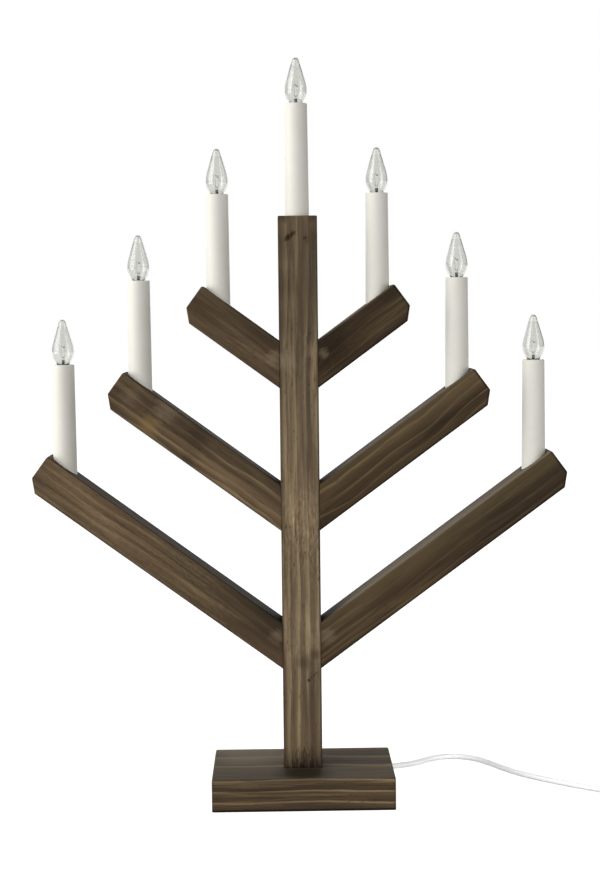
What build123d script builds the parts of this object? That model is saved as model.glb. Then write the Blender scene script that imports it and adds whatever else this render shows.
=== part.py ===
from build123d import *
import math
import os

# Electric candle arch: a post on a block base, three pairs of rising arms, seven candle lamps and a mains lead.
# Millimetres, +Z up, the front faces -Y. The origin is the middle of the base's underside.

# Base block
base_width = 131.0
base_depth = 85.0
base_height = 23.5
base_edge_radius = 1.5

# Post and arms, all as deep as each other
post_width = 28.0
timber_depth = 28.0
post_length = 398.5
timber_edge_radius = 1.0
arm_height = 27.2
arm_slope = 36.26  # degrees above level
arm_end_chamfer = 8.0
arm_tip_radius = 1.6
arm_end_setback = 13.8  # from a candle's axis to the arm's end, along the arm's top face
lower_arm_share = 0.2  # an arm's axis at the post's middle, as a share of the post's length
middle_arm_share = 0.4517
upper_arm_share = 0.7094
lower_candle_reach = 169.6  # a candle's axis from the post's middle
middle_candle_reach = 114.3
upper_candle_reach = 57.2

# Dowels and screws
dowel_diameter = 8.0
dowel_grip = 13.0  # depth in each arm
dowel_lift = 12.0  # above the arm's axis at the post's middle
post_screw_diameter = 4.0
post_screw_head = 8.0
post_screw_length = 50.0
post_screw_spacing = 14.0
post_screw_setback = 3.0  # forward of the post's middle
clamp_screw_diameter = 3.0
clamp_screw_head = 5.6
clamp_screw_head_height = 1.8
clamp_screw_grip = 8.0
wood_clearance = 0.1  # round a dowel or screw, at the radius

# Candle sleeves and their seats in the wood
sleeve_length = 90.0
sleeve_rim_diameter = 15.9
sleeve_foot_diameter = 17.3
sleeve_bore = 12.9
sleeve_opening = 10.8
sleeve_lip = 1.6
sleeve_rim_radius = 0.5
arm_seat_depth = 16.8  # below the arm's top face, on the candle's axis
post_seat_depth = 10.0
seat_clearance = 0.15

# Lamp glass, heights measured from the sleeve's rim
bulb_diameter = 16.0
bulb_height = 32.7
belly_height = 9.2
neck_diameter = 8.2
neck_depth = 4.0
bulb_taper = 16.9  # degrees from upright
shoulder_radius = 21.7
glass_wall = 0.6
stem_diameter = 2.6
stem_height = 2.5
exhaust_bore = 0.8
filament_wire = 0.45
filament_height = 13.0
filament_spread = 2.3
filament_dip = 1.3
lead_spread = 0.8

# Lamp cap, from its top down
cap_drop = 0.8  # below the sleeve's rim
collar_diameter = 10.0
collar_height = 0.8
cap_diameter = 9.5
cap_thread_length = 8.4
cap_cone_length = 2.0
cap_cone_diameter = 4.4
cap_tip_length = 1.3
cap_tip_diameter = 3.2

# Lamp holder and its contacts
cap_clearance = 0.25
shell_wall = 0.35
shell_drop = 3.5  # below the sleeve's rim
shell_length = 9.1
contact_gap = 0.3
contact_button = 0.3
contact_button_diameter = 2.0
contact_thickness = 0.5
contact_width = 3.0
contact_reach = 1.2  # past the lamp's axis
contact_spacing = 0.7
terminal_offset = 2.8
terminal_diameter = 1.2
terminal_length = 4.6
holder_base = 9.6
inner_clearance = 0.1
holder_clearance = 0.15

# Lamp wires in their grooves
wire_diameter = 1.8
wire_pitch = 2.2
wire_bend = 1.6
wire_hole_diameter = 6.0
wire_pilot_diameter = 5.4  # upright, between the seat and the wire hole
wire_hole_drop = 3.6  # below the candle's seat
groove_side_gap = 0.4  # beside the lead, on each side
groove_depth = 5.6
wire_clearance = 0.1

# Mains lead, its recess under the base and its clamp
cord_diameter = 4.2
cord_clearance = 0.2
cord_exit_angle = 33.0  # degrees from +X to the back
cord_exit_inset = 4.0  # where the free lead begins, inside the base's back edge
cord_groove_height = 7.8
cord_ceiling_gap = 0.3
cord_elbow_radius = 10.0
sheath_gap = 12.0  # from the lead's stripped end to the lower arms' wires
recess_corner_radius = 2.0
elbow_pocket_width = 7.0
clamp_pocket_clearance = 1.5  # beside the clamp's ends
clamp_pocket_length = 18.0
clamp_thickness = 1.5
clamp_width = 9.0
clamp_span = 21.0
clamp_screw_inset = 3.3  # from the clamp's ends

# Coil, tie and plug
coil_outer_radius = 35.6
coil_gap = 0.45
coil_turns_in = 8  # half turns that spiral in on the lower layer
coil_turns_out = 6  # half turns that spiral out on the upper layer
tie_thickness = 0.7
tie_width = 5.0
tie_clearance = 0.3
tie_corner_radius = 2.4
plug_boot_length = 22.0
plug_boot_end_diameter = 6.6
plug_boot_diameter = 9.2
plug_boot_rings = 4
plug_boot_ring_depth = 0.7
plug_body_length = 24.0
plug_body_width = 35.3
plug_body_thickness = 13.7
plug_body_shoulder = 12.0
plug_body_edge = 2.5
pin_diameter = 4.0
pin_length = 19.0
pin_spacing = 18.6
pin_tip_radius = 1.4
floor_clearance = 0.1

# The lead's route on the table after it leaves the base, chosen by hand: x and y of its middle
table_route = [
    (85.0, 70.6),
    (101.0, 86.2),
    (113.1, 92.1),
    (125.6, 91.7),
    (136.5, 84.6),
    (144.5, 73.1),
    (155.5, 53.5),
    (168.0, 35.8),
    (190.0, 15.5),
    (213.0, -3.0),
]
coil_approach = (231.0, -18.5)
coil_start_xy = (246.0, -33.0)
cord_free_run = 24.0  # straight on out of the base, before the lead sinks to the table
tail_run = 15.0
tail_headings = (111.0, 86.0, 62.0)  # degrees from +X, after the coil's end
tail_sag = 0.8

os.makedirs("parts", exist_ok=True)

# Worked-out places
sides = {"left": -1, "right": 1}
slope = math.radians(arm_slope)
half_arm = arm_height / 2
arm_face_lift = half_arm / math.cos(slope)
rear = timber_depth / 2
post_top = base_height + post_length
arm_levels = {
    "lower": (base_height + lower_arm_share * post_length, lower_candle_reach),
    "middle": (base_height + middle_arm_share * post_length, middle_candle_reach),
    "upper": (base_height + upper_arm_share * post_length, upper_candle_reach),
}
candles = {"top": (0.0, post_top - post_seat_depth)}
for level, (axis_height, reach) in arm_levels.items():
    seat = axis_height + reach * math.tan(slope) + arm_face_lift - arm_seat_depth
    for side, sign in sides.items():
        candles[f"{level}_{side}"] = (sign * reach, seat)
seat_radius = sleeve_foot_diameter / 2 + seat_clearance
wire_radius = wire_diameter / 2
cord_radius = cord_diameter / 2
groove_width = cord_diameter + 2 * groove_side_gap


def save(piece, node):
    """Labels a finished piece and writes it under its node's name."""
    piece.part.label = node
    export_step(piece.part, f"parts/{node}.step")


def upright_plane(x, z):
    """Plane of a turned profile: its first axis is the radius, its second the height."""
    return Plane(origin=(x, 0, z), x_dir=(1, 0, 0), z_dir=(0, -1, 0))


def upright_axis(x):
    return Axis((x, 0, 0), (0, 0, 1))


def arm_point(sign, axis_height, along, across):
    """Front-view point of an arm, along its axis from the post's middle and across it."""
    x = along * math.cos(slope) - across * math.sin(slope)
    z = axis_height + along * math.sin(slope) + across * math.cos(slope)
    return (sign * x, z)


def wire_hole_height(seat):
    return seat - wire_hole_drop


def groove_corners(x, seat):
    """Corners of the wire groove from a candle's wire hole down the slope to the post's middle."""
    sign = math.copysign(1, x)
    hole = wire_hole_height(seat)
    foot = hole - abs(x) * math.tan(slope)
    shift_x = sign * groove_width / 2 * math.sin(slope)
    shift_z = groove_width / 2 * math.cos(slope)
    return [
        (x - shift_x, hole + shift_z),
        (x + shift_x, hole - shift_z),
        (shift_x, foot - shift_z),
        (-shift_x, foot + shift_z),
    ]


def cut_candle_seat(x, seat, depth):
    """Cuts a candle's upright seat, the wire hole under it and the way out at the back."""
    with BuildSketch(Plane(origin=(x, 0, seat))) as seat_outline:
        Circle(seat_radius)
    extrude(seat_outline.sketch, amount=depth + arm_height, mode=Mode.SUBTRACT)
    with BuildSketch(Plane(origin=(x, 0, seat))) as pilot_outline:
        Circle(wire_pilot_diameter / 2)
    extrude(pilot_outline.sketch, amount=-wire_hole_drop, mode=Mode.SUBTRACT)
    with BuildSketch(Plane.XZ.offset(-rear)) as back_outline:
        with Locations((x, wire_hole_height(seat))):
            Circle(wire_hole_diameter / 2)
    extrude(back_outline.sketch, amount=rear + wire_hole_diameter / 2, mode=Mode.SUBTRACT)


def cut_groove(x, seat):
    """Cuts the slanting wire groove of one arm into the back of the timber."""
    with BuildSketch(Plane.XZ.offset(-rear)) as groove_outline:
        with BuildLine():
            Polyline(*groove_corners(x, seat), close=True)
        make_face()
    extrude(groove_outline.sketch, amount=groove_depth, mode=Mode.SUBTRACT)


# Mains lead under the base: it runs from the post's groove to the back edge, at an angle
cord_y = rear - groove_depth + cord_clearance + cord_radius
cord_level = cord_groove_height - cord_ceiling_gap - cord_radius
exit_angle = math.radians(cord_exit_angle)
exit_direction = (math.cos(exit_angle), math.sin(exit_angle), 0)
cord_exit_run = (base_depth / 2 - cord_y) / math.sin(exit_angle) - cord_exit_inset
cord_exit = (cord_exit_run * exit_direction[0], cord_y + cord_exit_run * exit_direction[1], cord_level)
underside = Plane(origin=(0, cord_y, 0), x_dir=exit_direction, z_dir=(0, 0, 1))
elbow_pocket_start = -elbow_pocket_width / 2
elbow_pocket_end = cord_elbow_radius + cord_radius
elbow_pocket_height = cord_level + cord_elbow_radius + cord_clearance
clamp_pocket_end = elbow_pocket_end + clamp_pocket_length
clamp_place = elbow_pocket_end + clamp_pocket_length / 2
clamp_pocket_width = clamp_span + 2 * clamp_pocket_clearance
clamp_screw_offset = clamp_span / 2 - clamp_screw_inset

post_screw_places = [(sign * post_screw_spacing / 2, -post_screw_setback) for sign in sides.values()]
clamp_screw_places = [(clamp_place, sign * clamp_screw_offset) for sign in sides.values()]

# Base block, with screw holes, the lead's recess and the hole up to the post's groove
with BuildPart() as base_block:
    with BuildSketch():
        Rectangle(base_width, base_depth)
    extrude(amount=base_height)
    floor_edges = base_block.edges().group_by(Axis.Z)[0]
    fillet(base_block.edges() - floor_edges, base_edge_radius)
    for x, y in post_screw_places:
        with Locations(Plane(origin=(x, y, 0), z_dir=(0, 0, -1))):
            CounterSinkHole(
                post_screw_diameter / 2 + wood_clearance,
                post_screw_head / 2 + wood_clearance,
                base_height,
                counter_sink_angle=90,
            )
    with BuildSketch(underside) as elbow_pocket:
        with Locations((elbow_pocket_start, 0)):
            Rectangle(
                elbow_pocket_end - elbow_pocket_start + 2 * recess_corner_radius,
                elbow_pocket_width,
                align=(Align.MIN, Align.CENTER),
            )
        fillet(elbow_pocket.vertices(), recess_corner_radius)
    extrude(amount=elbow_pocket_height, mode=Mode.SUBTRACT)
    with BuildSketch(underside) as clamp_pocket:
        with Locations((clamp_place, 0)):
            Rectangle(clamp_pocket_length, clamp_pocket_width)
        fillet(clamp_pocket.vertices(), recess_corner_radius)
    extrude(amount=cord_groove_height, mode=Mode.SUBTRACT)
    with BuildSketch(underside):
        with Locations((clamp_place, 0)):
            Rectangle(cord_exit_run, groove_width, align=(Align.MIN, Align.CENTER))
    extrude(amount=cord_groove_height, mode=Mode.SUBTRACT)
    with BuildSketch():
        with Locations((0, cord_y)):
            Circle(cord_radius + cord_clearance)
    extrude(amount=base_height, mode=Mode.SUBTRACT)
    with BuildSketch(underside):
        with Locations(*clamp_screw_places):
            Circle(clamp_screw_diameter / 2 + wood_clearance)
    extrude(amount=cord_groove_height + clamp_screw_grip + wood_clearance, mode=Mode.SUBTRACT)
save(base_block, "base_block")

# Post, with the top candle's seat, wire grooves at the back and holes for dowels and screws
with BuildPart() as post:
    with BuildSketch(Plane.XY.offset(base_height)):
        Rectangle(post_width, timber_depth)
    extrude(amount=post_length)
    foot_edges = post.edges().group_by(Axis.Z)[0]
    fillet(post.edges() - foot_edges, timber_edge_radius)
    top_x, top_seat = candles["top"]
    cut_candle_seat(top_x, top_seat, post_seat_depth)
    with BuildSketch(Plane.XZ.offset(-rear)):
        with Locations((0, base_height)):
            Rectangle(groove_width, wire_hole_height(top_seat) - base_height, align=(Align.CENTER, Align.MIN))
    extrude(amount=groove_depth, mode=Mode.SUBTRACT)
    for name, (x, seat) in candles.items():
        if name != "top":
            cut_groove(x, seat)
    with BuildSketch(Plane.YZ.offset(-post_width / 2)):
        with Locations(*[(0, axis_height + dowel_lift) for axis_height, reach in arm_levels.values()]):
            Circle(dowel_diameter / 2 + wood_clearance)
    extrude(amount=post_width, mode=Mode.SUBTRACT)
    with BuildSketch(Plane.XY.offset(base_height)):
        with Locations(*post_screw_places):
            Circle(post_screw_diameter / 2 + wood_clearance)
    extrude(amount=post_screw_length - base_height + wood_clearance, mode=Mode.SUBTRACT)
save(post, "post")

# Arms: upright inner end, square outer end with its lower corner cut off
for level, (axis_height, reach) in arm_levels.items():
    for side, sign in sides.items():
        joint = post_width / 2
        inner_top = (joint + half_arm * math.sin(slope)) / math.cos(slope)
        inner_bottom = (joint - half_arm * math.sin(slope)) / math.cos(slope)
        arm_end = (reach + half_arm * math.sin(slope)) / math.cos(slope) + arm_end_setback
        corners = [
            (inner_bottom, -half_arm),
            (arm_end - arm_end_chamfer, -half_arm),
            (arm_end, -half_arm + arm_end_chamfer),
            (arm_end, half_arm),
            (inner_top, half_arm),
        ]
        arm_x, arm_seat = candles[f"{level}_{side}"]
        with BuildPart() as arm:
            with BuildSketch(Plane.XZ.offset(-rear)) as arm_outline:
                with BuildLine():
                    Polyline(*[arm_point(sign, axis_height, *corner) for corner in corners], close=True)
                make_face()
                outer_corners = arm_outline.vertices().filter_by(lambda v: sign * v.X > reach)
                fillet(outer_corners, arm_tip_radius)
            extrude(amount=timber_depth)
            flat_faces = arm.faces().filter_by(Axis.Y)
            long_edges = flat_faces.edges().filter_by(lambda e: abs(e.center().X - sign * joint) > arm_tip_radius)
            fillet(long_edges, timber_edge_radius)
            cut_candle_seat(arm_x, arm_seat, arm_seat_depth)
            cut_groove(arm_x, arm_seat)
            with BuildSketch(Plane.YZ.offset(sign * joint)):
                with Locations((0, axis_height + dowel_lift)):
                    Circle(dowel_diameter / 2 + wood_clearance)
            extrude(amount=sign * (dowel_grip + wood_clearance), mode=Mode.SUBTRACT)
        save(arm, f"arm_{level}_{side}")

# Dowels through the post, one for each pair of arms
with BuildPart() as arm_dowels:
    with BuildSketch(Plane.YZ.offset(-post_width / 2 - dowel_grip)):
        with Locations(*[(0, axis_height + dowel_lift) for axis_height, reach in arm_levels.values()]):
            Circle(dowel_diameter / 2)
    extrude(amount=post_width + 2 * dowel_grip)
save(arm_dowels, "arm_dowels")

# Countersunk screws from under the base into the post
with BuildPart() as post_screws:
    for x, y in post_screw_places:
        with BuildSketch(Plane(origin=(x, y, 0), x_dir=(1, 0, 0), z_dir=(0, -1, 0))):
            with BuildLine():
                Polyline(
                    (0, wood_clearance),
                    (post_screw_head / 2, wood_clearance),
                    (post_screw_diameter / 2, wood_clearance + (post_screw_head - post_screw_diameter) / 2),
                    (post_screw_diameter / 2, post_screw_length - post_screw_diameter),
                    (0, post_screw_length),
                    close=True,
                )
            make_face()
        revolve(axis=Axis((x, y, 0), (0, 0, 1)))
save(post_screws, "post_screws")

# Saddle clamp that holds the lead against the recess's ceiling
saddle_inner = cord_radius + cord_clearance
saddle_outer = saddle_inner + clamp_thickness
ear_under = cord_groove_height - clamp_thickness
clamp_start = underside.from_local_coords(Vector(clamp_place - clamp_width / 2, 0, 0))
across_exit = (-math.sin(exit_angle), math.cos(exit_angle), 0)
with BuildPart() as cord_clamp:
    with BuildSketch(Plane(origin=clamp_start, x_dir=across_exit, z_dir=exit_direction)):
        with BuildLine():
            Polyline(
                (-saddle_inner, cord_level),
                (-saddle_inner, cord_groove_height),
                (-clamp_span / 2, cord_groove_height),
                (-clamp_span / 2, ear_under),
                (-saddle_outer, ear_under),
                (-saddle_outer, cord_level),
            )
            ThreePointArc(
                (-saddle_outer, cord_level), (0, cord_level - saddle_outer), (saddle_outer, cord_level)
            )
            Polyline(
                (saddle_outer, cord_level),
                (saddle_outer, ear_under),
                (clamp_span / 2, ear_under),
                (clamp_span / 2, cord_groove_height),
                (saddle_inner, cord_groove_height),
                (saddle_inner, cord_level),
            )
            ThreePointArc(
                (saddle_inner, cord_level), (0, cord_level - saddle_inner), (-saddle_inner, cord_level)
            )
        make_face()
    extrude(amount=clamp_width)
    with BuildSketch(underside):
        with Locations(*clamp_screw_places):
            Circle(clamp_screw_diameter / 2 + wood_clearance)
    extrude(amount=cord_groove_height, mode=Mode.SUBTRACT)
save(cord_clamp, "cord_clamp")

# Round-headed screws of the clamp
with BuildPart() as clamp_screws:
    with BuildSketch(underside.offset(ear_under - clamp_screw_head_height)):
        with Locations(*clamp_screw_places):
            Circle(clamp_screw_head / 2)
    extrude(amount=clamp_screw_head_height)
    head_rims = clamp_screws.edges().group_by(Axis.Z)[0]
    fillet(head_rims, clamp_screw_head_height / 2)
    with BuildSketch(underside.offset(ear_under)):
        with Locations(*clamp_screw_places):
            Circle(clamp_screw_diameter / 2)
    extrude(amount=clamp_thickness + clamp_screw_grip)
save(clamp_screws, "clamp_screws")

# Lamp heights, down from the sleeve's rim
cap_end = cap_drop + collar_height + cap_thread_length
cap_tip = cap_end + cap_cone_length + cap_tip_length
contact_top = cap_tip + contact_gap + contact_button
socket_floor = contact_top + contact_thickness
holder_end = socket_floor + holder_base
wire_top = socket_floor + terminal_length + inner_clearance
shell_inner = cap_diameter / 2 + cap_clearance
shell_outer = shell_inner + shell_wall
pocket_radius = shell_outer + inner_clearance
holder_top = sleeve_lip + inner_clearance
neck_end = -neck_depth

# Lamp glass outline: belly and shoulder arcs share the belly's height, then a straight taper and a round tip
neck_step = (bulb_diameter - neck_diameter) / 2
belly_radius = (belly_height**2 + neck_step**2) / (2 * neck_step)
taper = math.radians(bulb_taper)
belly_centre = (bulb_diameter / 2 - belly_radius, belly_height)
shoulder_centre = (bulb_diameter / 2 - shoulder_radius, belly_height)
taper_offset = shoulder_radius + shoulder_centre[0] * math.cos(taper) + shoulder_centre[1] * math.sin(taper)
tip_radius = (taper_offset - bulb_height * math.sin(taper)) / (1 - math.sin(taper))
tip_centre = (0, bulb_height - tip_radius)


def on_arc(centre, radius, angle):
    """Point of an arc at an angle above the outward direction."""
    return (centre[0] + radius * math.cos(angle), centre[1] + radius * math.sin(angle))


def glass_outline(inset, bottom):
    """Edges of half the lamp glass's outline, drawn in by the wall for its hollow."""
    neck = neck_diameter / 2 - inset
    belly = belly_radius - inset
    shoulder = shoulder_radius - inset
    tip = tip_radius - inset
    neck_angle = -math.acos((neck - belly_centre[0]) / belly)
    neck_top = on_arc(belly_centre, belly, neck_angle)
    with BuildLine() as outline:
        Polyline((0, bottom), (neck, bottom), neck_top)
        ThreePointArc(neck_top, on_arc(belly_centre, belly, neck_angle / 2), on_arc(belly_centre, belly, 0))
        ThreePointArc(
            on_arc(shoulder_centre, shoulder, 0),
            on_arc(shoulder_centre, shoulder, taper / 2),
            on_arc(shoulder_centre, shoulder, taper),
        )
        Line(on_arc(shoulder_centre, shoulder, taper), on_arc(tip_centre, tip, taper))
        ThreePointArc(
            on_arc(tip_centre, tip, taper),
            on_arc(tip_centre, tip, (taper + math.pi / 2) / 2),
            on_arc(tip_centre, tip, math.pi / 2),
        )
        Line(on_arc(tip_centre, tip, math.pi / 2), (0, bottom))
    return outline.edges()


for name, (x, seat) in candles.items():
    rim = seat + sleeve_length
    axis = upright_axis(x)

    # Candle sleeve: a tapered tube with a lip at its rim
    with BuildPart() as candle_sleeve:
        with BuildSketch(upright_plane(x, seat)):
            with BuildLine():
                Polyline(
                    (sleeve_bore / 2, 0),
                    (sleeve_foot_diameter / 2, 0),
                    (sleeve_rim_diameter / 2, sleeve_length),
                    (sleeve_opening / 2, sleeve_length),
                    (sleeve_opening / 2, sleeve_length - sleeve_lip),
                    (sleeve_bore / 2, sleeve_length - sleeve_lip),
                    close=True,
                )
            make_face()
        revolve(axis=axis)
        fillet(candle_sleeve.edges().group_by(Axis.Z)[-1], sleeve_rim_radius)
    save(candle_sleeve, f"candle_sleeve_{name}")

    # Lamp holder: a plastic cup under the sleeve's lip, with two wire holes in its base
    with BuildPart() as lamp_holder:
        with BuildSketch(Plane(origin=(x, 0, rim - holder_end))):
            Circle(sleeve_bore / 2 - holder_clearance)
        extrude(amount=holder_end - holder_top)
        with BuildSketch(Plane(origin=(x, 0, rim - socket_floor))):
            Circle(pocket_radius)
        extrude(amount=socket_floor, mode=Mode.SUBTRACT)
        with BuildSketch(Plane(origin=(x, 0, rim - holder_end))):
            with Locations((-terminal_offset, 0), (terminal_offset, 0)):
                Circle(wire_radius + inner_clearance)
        extrude(amount=holder_base, mode=Mode.SUBTRACT)
    save(lamp_holder, f"lamp_holder_{name}")

    # Lamp glass: the hollow bulb with its stem, whose bore is sealed inside the cap
    with BuildPart() as bulb_glass:
        with BuildSketch(upright_plane(x, rim)):
            make_face(glass_outline(0, neck_end))
        revolve(axis=axis)
        with BuildSketch(upright_plane(x, rim)):
            make_face(glass_outline(glass_wall, neck_end + 2 * glass_wall))
        revolve(axis=axis, mode=Mode.SUBTRACT)
        with BuildSketch(Plane(origin=(x, 0, rim + neck_end))):
            Circle(stem_diameter / 2)
        extrude(amount=neck_depth + stem_height)
        with BuildSketch(Plane(origin=(x, 0, rim + neck_end))):
            Circle(exhaust_bore / 2)
        extrude(amount=neck_depth + stem_height, mode=Mode.SUBTRACT)
    save(bulb_glass, f"bulb_glass_{name}")

    # Filament: two leads from the stem that spread and carry a dipping wire
    half_filament = [
        (lead_spread, 0, stem_height + inner_clearance),
        (lead_spread, 0, (stem_height + filament_height) / 3),
        (filament_spread, 0, filament_height - filament_dip),
        (filament_spread / 2, 0, filament_height),
        (0, 0, filament_height - filament_dip),
    ]
    filament_points = [(x - px, py, rim + pz) for px, py, pz in half_filament]
    filament_points += [(x + px, py, rim + pz) for px, py, pz in reversed(half_filament[:-1])]
    with BuildPart() as bulb_filament:
        with BuildLine() as filament_path:
            FilletPolyline(*filament_points, radius=filament_wire)
        with BuildSketch(Plane(origin=filament_path.line @ 0, z_dir=filament_path.line % 0)):
            Circle(filament_wire / 2)
        sweep()
    save(bulb_filament, f"bulb_filament_{name}")

    # Lamp cap: collar, threaded part, cone and solder tip, bored for the glass neck
    with BuildPart() as bulb_cap:
        with BuildSketch(upright_plane(x, rim)):
            with BuildLine():
                Polyline(
                    (0, -cap_drop),
                    (collar_diameter / 2, -cap_drop),
                    (collar_diameter / 2, -cap_drop - collar_height),
                    (cap_diameter / 2, -cap_drop - collar_height),
                    (cap_diameter / 2, -cap_end),
                    (cap_cone_diameter / 2, -cap_end - cap_cone_length),
                    (cap_tip_diameter / 2, -cap_end - cap_cone_length),
                    (cap_tip_diameter / 4, -cap_tip),
                    (0, -cap_tip),
                    close=True,
                )
            make_face()
        revolve(axis=axis)
        with BuildSketch(Plane(origin=(x, 0, rim + neck_end - inner_clearance))):
            Circle(neck_diameter / 2 + inner_clearance)
        extrude(amount=neck_depth, mode=Mode.SUBTRACT)
    save(bulb_cap, f"bulb_cap_{name}")

# Brass screw shells of the holders, each with a foot on the holder's floor and a terminal pin
with BuildPart() as screw_shells:
    for x, seat in candles.values():
        rim = seat + sleeve_length
        with BuildSketch(Plane(origin=(x, 0, rim - shell_drop - shell_length))):
            Circle(shell_outer)
            Circle(shell_inner, mode=Mode.SUBTRACT)
        extrude(amount=shell_length)
        with BuildSketch(Plane(origin=(x, 0, rim - socket_floor))):
            Circle(shell_outer)
            Circle(shell_inner, mode=Mode.SUBTRACT)
            Rectangle(shell_outer, contact_width, align=(Align.MIN, Align.CENTER), mode=Mode.INTERSECT)
        extrude(amount=socket_floor - shell_drop - shell_length)
        with BuildSketch(Plane(origin=(x, 0, rim - socket_floor))):
            Circle(shell_outer)
            with Locations((contact_reach + contact_spacing, 0)):
                Rectangle(shell_outer, contact_width, align=(Align.MIN, Align.CENTER), mode=Mode.INTERSECT)
        extrude(amount=contact_thickness)
        with BuildSketch(Plane(origin=(x, 0, rim - socket_floor))):
            with Locations((terminal_offset, 0)):
                Circle(terminal_diameter / 2)
        extrude(amount=-terminal_length)
save(screw_shells, "screw_shells")

# Brass centre contacts, each with a raised button under the lamp's tip and a terminal pin
with BuildPart() as centre_contacts:
    for x, seat in candles.values():
        floor_plane = Plane(origin=(x, 0, seat + sleeve_length - socket_floor))
        with BuildSketch(floor_plane):
            with Locations((contact_reach, 0)):
                Rectangle(
                    contact_reach + terminal_offset + terminal_diameter,
                    contact_width,
                    align=(Align.MAX, Align.CENTER),
                )
        extrude(amount=contact_thickness)
        with BuildSketch(floor_plane):
            Circle(contact_button_diameter / 2)
        extrude(amount=contact_thickness + contact_button)
        with BuildSketch(floor_plane):
            with Locations((-terminal_offset, 0)):
                Circle(terminal_diameter / 2)
        extrude(amount=-terminal_length)
save(centre_contacts, "centre_contacts")

# Lamp wires: in each arm one wire joins the candle to the next one up, the other to the next one down
wire_y = rear - groove_depth + wire_clearance + wire_radius
wire_shift_x = wire_pitch / 2 * math.sin(slope)
wire_shift_z = wire_pitch / 2 * math.cos(slope)
post_wire_x = wire_pitch / 2
lower_wire_foot = wire_hole_height(candles["lower_right"][1]) - lower_candle_reach * math.tan(slope)
sheath_end = lower_wire_foot - sheath_gap


def candle_wire(sign, level, way):
    """Wire points from a candle's terminal to its turn into the post's groove; way is 1 up, -1 down."""
    x, seat = candles[f"{level}_right"]
    hole = wire_hole_height(seat)
    terminal = seat + sleeve_length - wire_top
    groove_x = x - way * wire_shift_x
    groove_z = hole + way * wire_shift_z
    post_z = groove_z - (groove_x - post_wire_x) * math.tan(slope)
    points = [
        (x - way * terminal_offset, 0, terminal),
        (x - way * terminal_offset, 0, seat + sleeve_length - holder_end - wire_hole_drop),
        (x - way * wire_pitch / 2, 0, seat + wire_hole_drop),
        (x - way * wire_pitch / 2, 0, groove_z),
        (groove_x, wire_y, groove_z),
        (post_wire_x, wire_y, post_z),
    ]
    return [(sign * px, py, pz) for px, py, pz in points]


def top_wire(sign):
    """Wire points from the top candle's terminal to the post's groove."""
    seat = candles["top"][1]
    rim = seat + sleeve_length
    points = [
        (terminal_offset, 0, rim - wire_top),
        (terminal_offset, 0, rim - holder_end - wire_hole_drop),
        (post_wire_x, 0, seat + wire_hole_drop),
        (post_wire_x, 0, wire_hole_height(seat)),
        (post_wire_x, wire_y, wire_hole_height(seat)),
    ]
    return [(sign * px, py, pz) for px, py, pz in points]


for side, sign in sides.items():
    cord_end_points = [
        (sign * post_wire_x, wire_y, sheath_end + 2 * cord_diameter),
        (sign * (cord_radius - wire_radius), cord_y, sheath_end + cord_diameter),
        (sign * (cord_radius - wire_radius), cord_y, sheath_end + wire_clearance),
    ]
    circuit = [
        top_wire(sign) + candle_wire(sign, "upper", 1)[::-1],
        candle_wire(sign, "upper", -1) + candle_wire(sign, "middle", 1)[::-1],
        candle_wire(sign, "middle", -1) + candle_wire(sign, "lower", 1)[::-1],
        candle_wire(sign, "lower", -1) + cord_end_points,
    ]
    with BuildPart() as lamp_wires:
        for wire_points in circuit:
            with BuildLine() as wire_path:
                FilletPolyline(*wire_points, radius=wire_bend)
            with BuildSketch(Plane(origin=wire_path.line @ 0, z_dir=wire_path.line % 0)):
                Circle(wire_radius)
            sweep()
    save(lamp_wires, f"lamp_wires_{side}")


def bend_radii(points):
    """Radius at each corner of a lead's route, as large as its two runs allow."""
    radii = []
    for before, corner, after in zip(points, points[1:], points[2:]):
        run_in = Vector(corner) - Vector(before)
        run_out = Vector(after) - Vector(corner)
        half_turn = math.radians(run_in.get_angle(run_out)) / 2
        radii.append(0.45 * min(run_in.length, run_out.length) / math.tan(half_turn))
    return radii


def report_tube(node, piece, path):
    """Prints a tube's volume beside its section times its length."""
    length = Wire(path.edges()).length
    expected = math.pi * cord_radius**2 * length
    print(f"{node}: length {length:.1f}, volume {piece.part.volume:.1f}, expected {expected:.1f}")


# Lead inside the object: from the back edge of the base, round an elbow and up the post's groove
with BuildPart() as cord_inner:
    with BuildLine() as inner_path:
        FilletPolyline(
            cord_exit, (0, cord_y, cord_level), (0, cord_y, sheath_end), radius=cord_elbow_radius
        )
    with BuildSketch(Plane(origin=inner_path.line @ 0, z_dir=inner_path.line % 0)):
        Circle(cord_radius)
    sweep()
save(cord_inner, "cord_inner")
report_tube("cord_inner", cord_inner, inner_path)

# Lead on the table, from the base to the coil
coil_level = floor_clearance + tie_thickness + tie_clearance + cord_radius
coil_start = (*coil_start_xy, coil_level)
table_level = floor_clearance + cord_radius
lead_points = [
    cord_exit,
    tuple(Vector(cord_exit) + cord_free_run * Vector(exit_direction)),
    *[(x, y, table_level) for x, y in table_route],
    (*coil_approach, coil_level),
    coil_start,
]
lead_radii = bend_radii(lead_points)
print("lead radii:", ", ".join(f"{radius:.1f}" for radius in lead_radii))
with BuildPart() as cord_lead:
    with BuildLine() as lead_path:
        FilletPolyline(*lead_points, radius=lead_radii)
    with BuildSketch(Plane(origin=lead_path.line @ 0, z_dir=lead_path.line % 0)):
        Circle(cord_radius)
    sweep()
save(cord_lead, "cord_lead")
report_tube("cord_lead", cord_lead, lead_path)

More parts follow.
